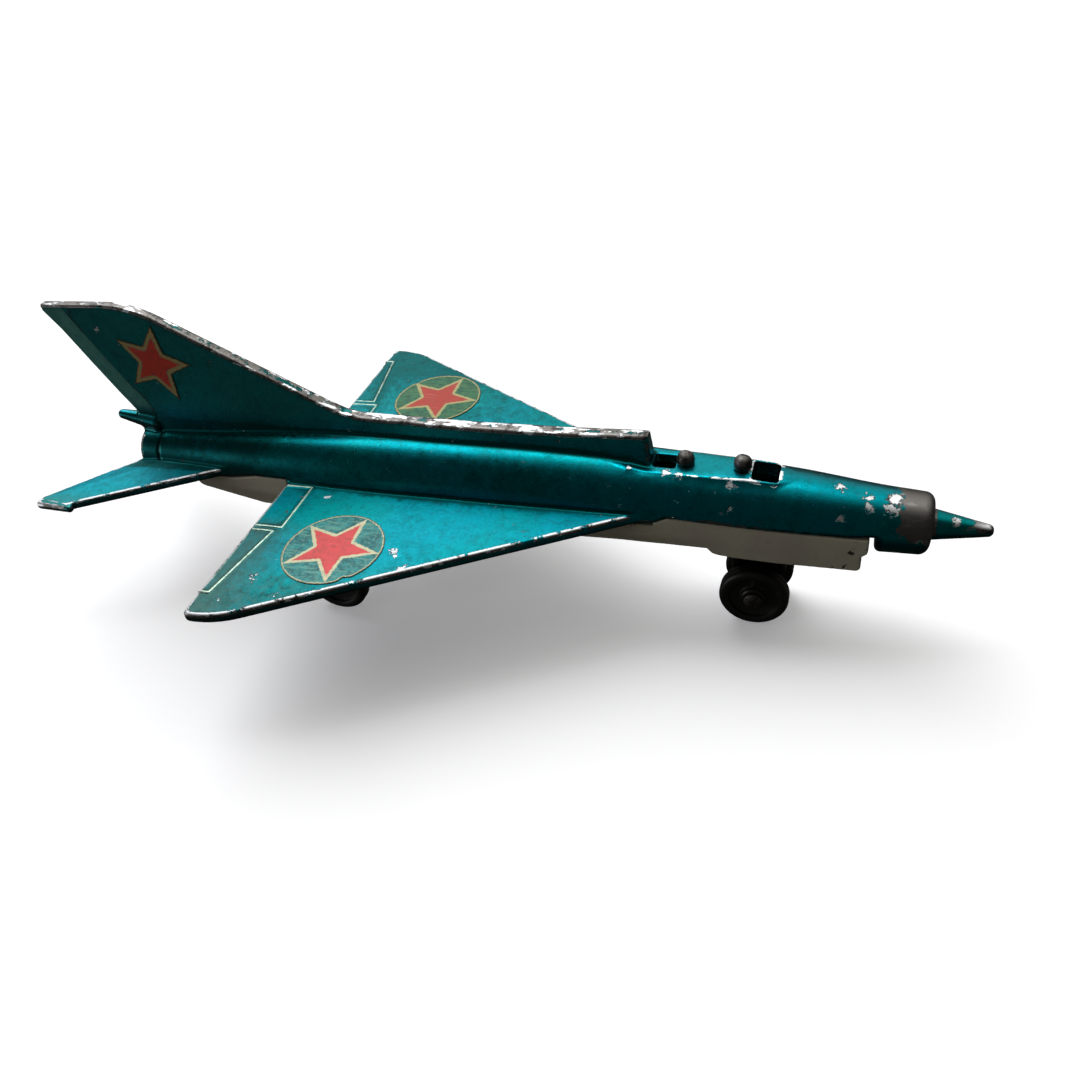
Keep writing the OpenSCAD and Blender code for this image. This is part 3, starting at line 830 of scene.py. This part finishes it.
class Finish(Nodes):
    """Builds one node material. Places are in millimetres in the airframe's own frame."""

    def __init__(self, name):
        self.material = bpy.data.materials.new(name)
        self.material.use_nodes = True
        super().__init__(self.material.node_tree)
        self.surface = self.tree.nodes["Principled BSDF"]
        at = self.node("TexCoord").outputs["Object"]
        self.place = self.node("VectorMath", at, None, None, 1 / MM, operation="SCALE").outputs[0]
        self.x, self.y, z = self.node("SeparateXYZ", self.place).outputs
        self.h = self.less(z, WING_TOP)
        self.up = self.node("SeparateXYZ", self.node("NewGeometry").outputs["Normal"]).outputs[2]

    def flip(self, value):
        return self.less(1, value)

    def zone(self, **fades):
        """1 where each named value has faded in, 0 outside."""
        return self.times(*[self.fade(getattr(self, name), *ends) for name, ends in fades.items()])

    def near(self, value, middle, width):
        """1 at middle, 0 beyond width from it."""
        away = self.calc("ABSOLUTE", self.less(value, middle), 0)
        return self.fade(away, 0, width, 1, 0)

    def noise(self, size, detail=3, rough=0.55, shift=0, stretch=None):
        """Noise whose blotches are about size millimetres across."""
        at = self.place
        if stretch:
            at = self.node("Mapping", at, (shift, shift, shift), *stretch).outputs[0]
        elif shift:
            at = self.node("VectorMath", at, (shift, shift * 2, shift * 3), operation="ADD").outputs[0]
        return self.node("TexNoise", at, None, 1 / size, detail, rough).outputs["Fac"]

    def patches(self, low, high, *noise, **shift):
        """Noise made into patches: 0 where it is under low, 1 where it is over high."""
        return self.fade(self.noise(*noise, **shift), low, high)

    def swing(self, gain, *noise, **shift):
        """Noise that swings gain / 2 either way round 0."""
        return self.times(self.less(self.noise(*noise, **shift), 0.5), gain)

    def away(self, x, y, height):
        """Distance from a place given by its height over the wings' top."""
        spot = (x, y, height + WING_TOP)
        return self.node("VectorMath", self.place, spot, operation="DISTANCE").outputs["Value"]

    def value(self, name):
        return self.node("Attribute", attribute_name=name).outputs["Fac"]

    def blend(self, amount, a, b):
        made = self.node("Mix", amount, data_type="RGBA")
        for socket, colour in zip(made.inputs[6:8], (a, b)):
            self.put(socket, colour if isinstance(colour, bpy.types.NodeSocket) else (*colour, 1))
        return made.outputs[2]

    def coated(self, colour, *coats):
        """Lays coats on a colour. Each coat is its own colour, then values whose product is its share."""
        for coat, *share in coats:
            colour = self.blend(self.times(*share), colour, coat)
        return colour

    def bump(self, height, depth):
        """Relief of height times depth millimetres."""
        relief = self.node("Bump", 1, depth * MM, None, height)
        self.put(self.surface.inputs["Normal"], relief.outputs[0])

    def finish(self, colour, metallic, roughness, **extra):
        extra.update(base_color=colour, metallic=metallic, roughness=roughness)
        for name, value in extra.items():
            self.put(self.surface.inputs[name.replace("_", " ").title()], value)
        return self.material


TEAL = (0, 0.24, 0.315)
TEAL_GREEN = (0, 0.24, 0.255)
TEAL_DEEP = (0, 0.085, 0.09)
GRIME = (0.022, 0.035, 0.032)
ZINC_DARK = (0.030, 0.027, 0.026)
ZINC = (0.15, 0.143, 0.14)
ZINC_BRIGHT = (0.72, 0.75, 0.80)
# Places where the paint is knocked off: x, y, height over the wings' top, and radius
KNOCKS = [(39.7, -0.8, 1.6, 0.7), (39.4, -1.7, 1.3, 0.55), (37.45, -1, 1.9, 0.3),
          (37.5, -1.9, 1.35, 0.38), (35, -0.6, 2.3, 0.36), (35.2, -2.95, 0.65, 0.25),
          (25.4, -2.15, 2.75, 0.34), (19.3, -1.8, 3.45, 0.32), (20.5, -2, 3.2, 0.24),
          (25.5, -3.55, 1.2, 0.16), (45, -0.45, -0.45, 0.3), (-15.3, -6, 0, 0.2), (-4.6, -13, 0, 0.24),
          (-4.3, -13.6, 0, 0.18), (-2.9, -15.1, 0, 0.27), (-16.9, -18.5, 0, 0.26), (-16.5, -18.9, 0, 0.2),
          (-13.5, -20.7, 0, 0.22), (-41, -0.6, 15.3, 0.2), (-12, 17, 0, 0.25), (6, 8, 0, 0.25),
          (38.6, 1.9, 1.3, 0.6), (33, 2.4, 0.8, 0.35), (24, 3.2, 1.6, 0.3)]


def knocks(m, spots, fray, share):
    """1 in the middle of each spot and 0 away from it, with a frayed edge."""
    total = 0
    for x, y, height, r in spots:
        away = m.plus(m.away(x, y, height), fray)
        total = m.most(total, m.fade(away, r * share + 0.06, r * share - 0.02))
    return total


# The upper casting's lacquer and the zinc under it. A zone is 1 inside and 0 outside.


def add_zones(m):
    """The values and zones that several parts of the lacquer share."""
    m.bend = m.value("bend")
    m.span = m.calc("ABSOLUTE", m.y, 0)
    m.fine, m.mid = m.noise(0.3, 4), m.noise(1.1, 5, 0.65)
    m.tiny = m.noise(0.14, 2, shift=27)
    near_slots = m.times(m.fade(m.away(REAR_SLOT_X - 0.05, 0, 3.4), 1.6, 1.9, 0.25, 1),
                         m.fade(m.away(FRONT_SLOT_X, 0, 3.2), 1.9, 2.3, 0.8, 1))
    m.edge = m.times(m.fade(m.bend, 0.2, 0.7), near_slots)
    m.crown = m.zone(h=(5.5, 5.9), span=(1.4, 1.2), up=(0.35, 0.8))
    m.to_tip = m.fade(m.span, 13, 23)
    m.on_right = m.fade(m.y, 4, -4)
    m.on_wing = m.near(m.h, 0, 1.2)
    m.to_rear = m.times(m.on_wing, m.zone(span=(9, 13), x=(WING_REAR_X + 7, WING_REAR_X + 1)))


def ring_zone(m):
    """The front of the nose ring, with a ragged edge."""
    uneven = m.swing(3.5, 1.5, 4, 0.6, 61)
    along = m.plus(m.x, uneven, (m.up, 0.8))
    zone = m.times(m.fade(along, 40.7, 40.9), m.fade(m.x, 43.5, 43.1))
    return m.times(zone, m.fade(m.plus(m.up, (uneven, 0.35)), -0.15, -0.05))


def ridge_zone(m):
    """The raised lines round the flaps and ailerons."""
    ahead = m.plus(m.x, -WING_REAR_X)
    return m.times(m.zone(bend=(0.3, 0.5), up=(0.5, 0.8)), m.fade(ahead, 4.2, 3.8),
                   m.fade(ahead, 0.25, 0.4), m.fade(m.span, 22, 21.5), m.fade(m.span, 4.5, 4.7),
                   m.near(m.h, 0.1, 0.35))


def rudder_zone(m):
    """The recessed rudder behind its slanting hinge line."""
    slant = m.plus(m.x, (m.less(m.h, 17.6), 0.53))
    return m.times(m.fade(slant, -44.4, -44.7), m.zone(h=(5, 6.5), x=(-38, -38.6)))


def worn_through(m, ring):
    """Edges, the nose ring and the spine's crown, worn down to the metal."""
    pod = m.times(m.zone(x=(-38.4, -39.2), span=(1.5, 1.3)), m.near(m.h, 4, 1.6))
    at_edge = m.times(m.edge, m.fade(m.up, -0.1, 0.3), 0.5, m.flip(m.fade(pod, 0.05, 0.2)))
    wear = m.plus(at_edge, (m.mid, 0.7), (m.noise(6, shift=9), 0.5), (m.fine, 0.2), (ring, 0.9),
                  (m.crown, 0.4), m.fade(m.x, 26, 46, 0, 0.1))
    return m.fade(wear, 1.08, 1.14)


def chipped(m):
    """Small chips and specks, in groups."""
    chips = m.times(m.patches(0.70, 0.72, 0.8, 3, 0.6, 31), m.patches(0.46, 0.56, 8, 2, shift=17))
    specks = m.times(m.patches(0.735, 0.75, 0.3, 2, shift=51), m.patches(0.42, 0.6, 5, 2, shift=37))
    return m.most(chips, specks)


def clean_paint(m):
    """Teal, greener on the fin, with darker blotches, darker towards the tips, the trailing edges and on
    the left wing, and painted shade in creases and on the rear and middle of the body.
    """
    greener = m.most(m.patches(0.35, 0.65, 14, 2, shift=3), m.fade(m.h, 4.5, 7))
    # Painted shade: creases, the rear body and the middle of the body are darkened towards deep teal.
    crease = m.fade(m.times(m.bend, -1), 0.05, 0.6)
    rear_body_shade = m.zone(x=(-21, -27), span=(4.6, 4.2), h=(6.5, 4.5))
    mid_body_shade = m.zone(x=(20, 8), span=(4.6, 4.2), h=(5, 4.6))
    grain = m.plus(m.swing(0.9, 0.28, 2, shift=81), m.swing(0.9, 0.9, 4, 0.7, 83))
    blotches = m.plus((m.patches(0.4, 0.75, 1.6, 6, 0.72, 13), 0.4),
                      (m.patches(0.45, 0.75, 9, 3, shift=43), 0.3))
    darker_tone_and_shade = m.plus(grain, blotches, (crease, 1.1), (m.to_tip, 0.55), (m.to_rear, 0.22),
                  (rear_body_shade, 0.55), (mid_body_shade, 0.3), m.fade(m.y, 4, 12, 0, 0.5))
    return m.blend(darker_tone_and_shade, m.blend(greener, TEAL, TEAL_GREEN), TEAL_DEEP)


def soiled_and_shaded(m, paint, dirt):
    """Grime, rubbed flecks, a grey film on the right wing's tip and aileron, a darker spine crown, and
    painted shade on edges that face down.
    """
    rub = m.times(m.fade(m.tiny, 0.62, 0.72), m.patches(0.5, 0.7, 3, 3, shift=53))
    film = m.times(m.most(m.to_tip, m.to_rear), m.patches(0.38, 0.62, 0.9, 6, 0.75, 91), m.on_right)
    # Painted shade: edges that face downwards are darkened.
    below = m.times(m.edge, m.fade(m.up, 0.35, 0.05), m.fade(m.mid, 0.3, 0.5))
    return m.coated(paint, (GRIME, dirt), ((0.06, 0.42, 0.42), rub, 0.35),
                    ((0.04, 0.11, 0.105), film, 0.6), ((0.06, 0.10, 0.088), m.to_rear, m.on_right, 0.45),
                    ((0, 0.035, 0.036), m.crown, 0.8), ((0.02, 0.03, 0.03), below, 0.75))


def marked_with_painted_light(m, paint, rudder, ridges):
    """Painted sheen on the rudder, pale worn ridges, painted shade in the groove round the tail, and the
    casting's bare inside painted nearly black as shade.
    """
    # Painted sheen: the tilted rudder is made paler.
    pale = m.blend(m.fade(m.mid, 0.4, 0.6), (0.09, 0.34, 0.30), (0.13, 0.42, 0.37))
    # Painted shade in the groove round the tail.
    seam = m.times(m.near(m.x, SEAM_X, 0.3), m.zone(h=(4.6, 4.2), span=(3.3, 3.1)))
    line = m.times(ridges, m.fade(m.mid, 0.3, 0.6, 0.45, 0.9), m.fade(m.y, 0, 6, 1, 0.5))
    # Painted shade: the inside of the casting behind the slots is made nearly black.
    inside = m.times(m.zone(h=(2.7, 2.3), span=(1.5, 1.3), x=(16, 17)), m.zone(x=(31, 30), h=(-6, -5)))
    return m.coated(paint, (pale, rudder, 0.8), ((0, 0.01, 0.012), seam, 0.8), ((0.42, 0.58, 0.46), line),
                    ((0, 0.002, 0.002), inside))


def bare_metal(m, ring, knocked, core):
    """Dark tarnished zinc, bright in glints and in the middle of knocks, with a painted highlight along
    rims that face up.
    """
    tone = m.blend(m.fade(m.plus(m.mid, (m.fine, 0.4)), 0.55, 0.75), ZINC_DARK, ZINC)
    along = m.noise(1, 6, 0.65, stretch=((0, 0, 0), (0.45, 1.2, 1)), shift=71)
    on_spine = m.times(m.fade(m.x, -22, -15), m.crown)
    on_fin = m.fade(m.x, -21, -25)
    glints = m.plus(along, (on_spine, 0.07), (on_fin, 0.03))
    # Painted highlight: bare rims that face up are made bright.
    rim = m.times(m.zone(bend=(0.4, 0.65), up=(0.6, 0.8), mid=(0.4, 0.5)), m.flip(m.crown))
    shine = m.most(m.fade(glints, 0.57, 0.62), core, rim)
    shine = m.times(shine, m.flip(m.times(ring, m.flip(knocked), 0.9)))
    return m.blend(shine, m.blend(ring, tone, ZINC), ZINC_BRIGHT)


def teal_paint():
    """Metallic lacquer over zinc, worn through at edges and chipped."""
    m = Finish("teal_lacquer")
    add_zones(m)
    ring, ridges, rudder = ring_zone(m), ridge_zone(m), rudder_zone(m)
    fray = m.swing(2.2, 0.5, 4, 0.7, 2)
    knocked, core = knocks(m, KNOCKS, fray, 1.05), knocks(m, KNOCKS, fray, 0.7)
    bare = m.most(worn_through(m, ring), knocked, chipped(m))
    bare = m.times(bare, m.flip(m.times(ridges, 0.85)))
    dirt = m.times(m.patches(0.5, 0.66, 1, 5, 0.75, 47), m.plus(0.15, (m.to_tip, 0.3)))
    paint = marked_with_painted_light(m, soiled_and_shaded(m, clean_paint(m), dirt), rudder, ridges)
    colour = m.blend(bare, paint, bare_metal(m, ring, knocked, core))
    flat_top = m.times(m.fade(m.up, 0.9, 0.99), m.fade(m.on_wing, 0.1, 0.4))
    rough = m.plus((bare, 0.12), 0.22, (flat_top, 0.28), (m.noise(0.8, shift=41), 0.14), (dirt, 0.2))
    m.bump(m.plus((m.noise(0.22, 2), 0.15), (m.noise(1.8), 0.3), (bare, -0.5), (m.tiny, 0.08)), 0.05)
    fin_side = m.times(m.zone(h=(4.5, 7), up=(0.5, 0.3)), m.flip(bare))
    metallic = m.flip(m.most(m.times(rudder, 0.75), m.times(fin_side, 0.3)))
    return m.finish(colour, metallic, rough, coat_weight=m.times(m.flip(bare), 0.015), coat_roughness=0.3)


BELLY_KNOCKS = [(36.4, -3.2, -3, 0.22), (35.9, -3, -4.85, 0.22), (24.4, -3.2, -4.6, 0.18),
                (23.2, -3.4, -3.6, 0.12), (35, 2.9, -4.7, 0.25), (-20, -3, -4, 0.2)]


def white_enamel():
    """Off-white enamel, yellowed and dusty, with small dark chips."""
    m = Finish("white_enamel")
    edge = m.fade(m.value("bend"), 0.2, 0.8)
    # Painted shade: creases are darkened.
    crease = m.fade(m.times(m.value("bend"), -1), 0.05, 0.6)
    fine, mid, broad = m.noise(0.3), m.noise(1, 5, 0.65, shift=7), m.noise(7, 2, shift=3)
    chips = m.fade(m.plus(mid, (edge, 0.1), (broad, 0.12)), 0.80, 0.82)
    specks = m.patches(0.75, 0.77, 0.55, 2, shift=11)
    fray = m.swing(1.2, 0.4, 3, shift=2)
    dark = m.most(chips, m.times(specks, 0.8), knocks(m, BELLY_KNOCKS, fray, 1))
    tint = m.blend(m.fade(broad, 0.3, 0.7), (0.70, 0.67, 0.52), (0.62, 0.56, 0.47))
    dust = m.patches(0.5, 0.8, 0.9, 5, 0.7, 19)
    under = m.blend(fine, (0.012, 0.011, 0.01), (0.1, 0.08, 0.05))
    colour = m.coated(tint, ((0.33, 0.28, 0.2), dust, 0.35), ((0.12, 0.1, 0.08), crease, 0.6),
                      (under, dark))
    m.bump(m.plus((m.noise(1.6), 0.4), (fine, 0.1), (dark, -0.5)), 0.05)
    rough = m.plus(0.38, (mid, 0.2))
    return m.finish(colour, 0, rough, coat_weight=0.15, coat_roughness=0.3)


def black_plastic():
    """Moulded black plastic with a fine grain, scuffs and dust."""
    m = Finish("black_plastic")
    edge = m.fade(m.value("bend"), 0.3, 0.9)
    fine, mid = m.noise(0.12), m.noise(0.9, 4, 0.6, shift=4)
    scuff = m.fade(m.plus(mid, (edge, 0.12)), 0.62, 0.72)
    dust = m.patches(0.5, 0.8, 2.5, 4, shift=8)
    colour = m.coated((0.002, 0.002, 0.002), ((0.008, 0.008, 0.007), dust, 0.4),
                      ((0.02, 0.02, 0.019), scuff, 0.4))
    m.bump(m.plus((fine, 0.3), (mid, 0.5)), 0.04)
    return m.finish(colour, 0, m.plus(0.4, (scuff, 0.25), (fine, 0.1)))


def steel(name, tone, shine, roughness):
    """Tarnished metal, lighter where it is rubbed."""
    m = Finish(name)
    fine, mid = m.noise(0.2, 4), m.noise(0.7, 4, 0.65, shift=6)
    stain = m.patches(0.62, 0.7, 0.5, 3, shift=21)
    colour = m.coated(tone, (shine, m.fade(mid, 0.35, 0.68)), ((0.05, 0.035, 0.025), stain))
    m.bump(m.plus((fine, 0.3), (mid, 0.6)), 0.05)
    return m.finish(colour, 0.9, m.plus(roughness, (mid, 0.2)))


def printed_paper(name, field, cream, red, border, outline, star_lines):
    """Printed and lacquered label: field, cream border lines and a red star, faded and scratched."""
    m = Finish(name)
    fray = m.swing(0.42, 0.3, 4, 0.7)
    rim, star = m.plus(m.value("rim"), fray), m.plus(m.value("star"), fray)
    mottle = m.noise(0.8, 5, 0.7, shift=2)
    streak = m.noise(1, 3, 0.6, stretch=((0.2, 0.3, 0.5), (0.35, 2.2, 1)), shift=3)
    ground = m.blend(m.fade(mottle, 0.4, 0.6), field[0], field[1])
    faded = m.times(m.patches(0.5, 0.62, 0.35, 4, 0.7, 33), 0.45)
    ground = m.blend(m.most(m.times(m.fade(streak, 0.52, 0.64), 0.6), faded), ground, field[2])
    lines = m.fade(rim, border, border - 0.06)
    if star_lines:
        lines = m.most(lines, m.fade(star, 0.03, -0.03))
        red_area = m.fade(star, -0.32, -0.38)
    else:
        red_area = m.fade(rim, border, border + 0.06)
    paper = m.blend(m.times(m.fade(mottle, 0.5, 0.75), 0.4), cream, field[1])
    ink = m.coated(red, ((0.3, 0.07, 0.06), m.patches(0.4, 0.75, 0.5, 4, shift=12), 0.5),
                   ((0.62, 0.2, 0.18), m.fade(streak, 0.6, 0.7), 0.4))
    edge = m.fade(rim, outline, outline - 0.05)
    specks = m.patches(0.72, 0.75, 0.4, 2, shift=14)
    colour = m.coated(ground, (paper, lines), (ink, red_area), ((0.03, 0.05, 0.03), edge, 0.85),
                      ((0.1, 0.12, 0.1), specks, 0.7))
    m.bump(m.plus((m.noise(0.3), 0.3), (mottle, 0.4)), 0.03)
    m.put(m.surface.inputs["Specular IOR Level"], 0.2)
    return m.finish(colour, 0.05, m.plus(0.42, (mottle, 0.2)))


def floor_finish():
    m = Finish("pale_floor")
    tone = m.blend(m.noise(60, 2), (0.80, 0.81, 0.85), (0.82, 0.83, 0.87))
    return m.finish(tone, 0, 0.9, emission_color=(0.9, 0.9, 0.92, 1), emission_strength=0.3)


# ----- studio -----


def make_floor():
    size = 3.0
    mesh = bpy.data.meshes.new("floor")
    corners = [(-size, -size, 0), (size, -size, 0), (size, size, 0), (-size, size, 0)]
    mesh.from_pydata(corners, [], [(0, 1, 2, 3)])
    floor = add_object("floor", mesh)
    mesh.materials.append(floor_finish())
    floor.visible_glossy = False
    floor.visible_diffuse = False


def soft_light(name, place, size, power):
    data = bpy.data.lights.new(name, "AREA")
    data.shape = "DISK"
    data.size = size
    data.energy = power
    lamp = add_object(name, data)
    lamp.location = place
    lamp.rotation_euler = (-Vector(place)).to_track_quat("-Z", "Y").to_euler()


def make_camera():
    """Looks at the airframe from its right, ahead and above, a little rolled."""
    azimuth, elevation, roll = (math.radians(a) for a in (22.916, 39.237, -9.026))
    distance = 101.243
    target = Vector((4.926, 0.0, 5.516))
    turn = Matrix.Rotation(azimuth, 4, "Z") @ Matrix.Rotation(math.pi / 2 - elevation, 4, "X")
    turn = turn @ Matrix.Rotation(roll, 4, "Z")
    back = turn.col[2].to_3d()
    data = bpy.data.cameras.new("camera")
    data.sensor_width = 36.0
    data.lens = 31.614
    data.clip_start = 0.001
    camera = add_object("camera", data)
    camera.matrix_world = Matrix.Translation((target + back * distance) * MM) @ turn
    bpy.context.scene.camera = camera


def make_world():
    """Broad pale glow above and behind, dim surroundings, and dark below the horizon."""
    world = bpy.data.worlds.new("studio")
    world.use_nodes = True
    n = Nodes(world.node_tree)
    look = n.node("TexCoord").outputs["Generated"]
    glow_axis = Vector((0.05, 0.5, 0.86)).normalized()
    toward = n.node("VectorMath", look, glow_axis, operation="DOT_PRODUCT").outputs["Value"]
    glow = n.fade(toward, 0.56, 1)
    dim = n.fade(n.node("SeparateXYZ", look).outputs[2], -0.85, -0.5, 0.012, 0.055)
    back = n.tree.nodes["Background"]
    n.put(back.inputs["Color"], (1, 0.97, 0.86, 1))
    n.put(back.inputs["Strength"], n.plus(glow, dim))
    wall = n.node("Background", (0.86, 0.87, 0.9, 1)).outputs[0]
    seen = n.node("LightPath").outputs["Is Camera Ray"]
    either = n.node("MixShader", seen, back.outputs[0], wall)
    n.put(n.tree.nodes["World Output"].inputs["Surface"], either.outputs[0])
    return world


def make_studio():
    make_floor()
    soft_light("key", (-0.5, 0.46, 0.85), 1.0, 9.6)
    soft_light("top", (0.0, 0.3, 1.22), 0.4, 1.8)
    soft_light("side", (-0.9, -0.45, 0.12), 0.3, 1.5)
    bpy.context.scene.world = make_world()
    bpy.context.scene.view_settings.view_transform = "Standard"
    make_camera()


# ----- assembly -----


def build():
    step = 0.15
    share = 0.3
    black = black_plastic()
    upper = cast_piece("upper_casting", "upper_body", upper_field, step, share)
    place_piece(upper, "upper_body", teal_paint())
    lower = cast_piece("lower_casting", "lower_body", lower_field, step, share)
    place_piece(lower, "lower_body", white_enamel())
    nose_leg_piece(black)
    wheels_steel = steel("axle_steel", (0.03, 0.029, 0.028), (0.12, 0.115, 0.11), 0.4)
    for axle in ("nose_axle", "main_axle"):
        axle_piece(axle, wheels_steel)
    rivet_steel = steel("rivet_metal", (0.035, 0.034, 0.034), (0.15, 0.145, 0.14), 0.38)
    for rivet in ("front_rivet", "rear_rivet"):
        rivet_piece(rivet, rivet_steel)
    green_field = [(0.012, 0.12, 0.135), (0.03, 0.26, 0.27), (0.16, 0.40, 0.33)]
    wing_print = printed_paper("wing_print", green_field, (0.62, 0.60, 0.40), (0.70, 0.08, 0.09),
                               0.22, 0.13, True)
    # The left wing's label is a darker copy of the print.
    darker_field = [(0.008, 0.09, 0.055), (0.025, 0.16, 0.085), (0.1, 0.2, 0.07)]
    darker_print = printed_paper("darker_print", darker_field, (0.40, 0.37, 0.17), (0.42, 0.045, 0.03),
                                  0.24, 0.1, True)
    pale_field = [(0.10, 0.26, 0.24), (0.3, 0.28, 0.14), (0.42, 0.42, 0.25)]
    fin_print = printed_paper("fin_print", pale_field, (0.50, 0.36, 0.15), (0.78, 0.06, 0.035),
                              0.5, 0.14, False)
    for side_name, side in (("left", 1), ("right", -1)):
        main_leg_piece("main_leg_" + side_name, side, black)
        wing_label_piece("wing_label_" + side_name, side, darker_print if side > 0 else wing_print)
        fin_label_piece("fin_label_" + side_name, side, fin_print)
        for wheel in ("nose_wheel_", "main_wheel_"):
            wheel_piece(wheel + side_name, black)


build()
make_studio()
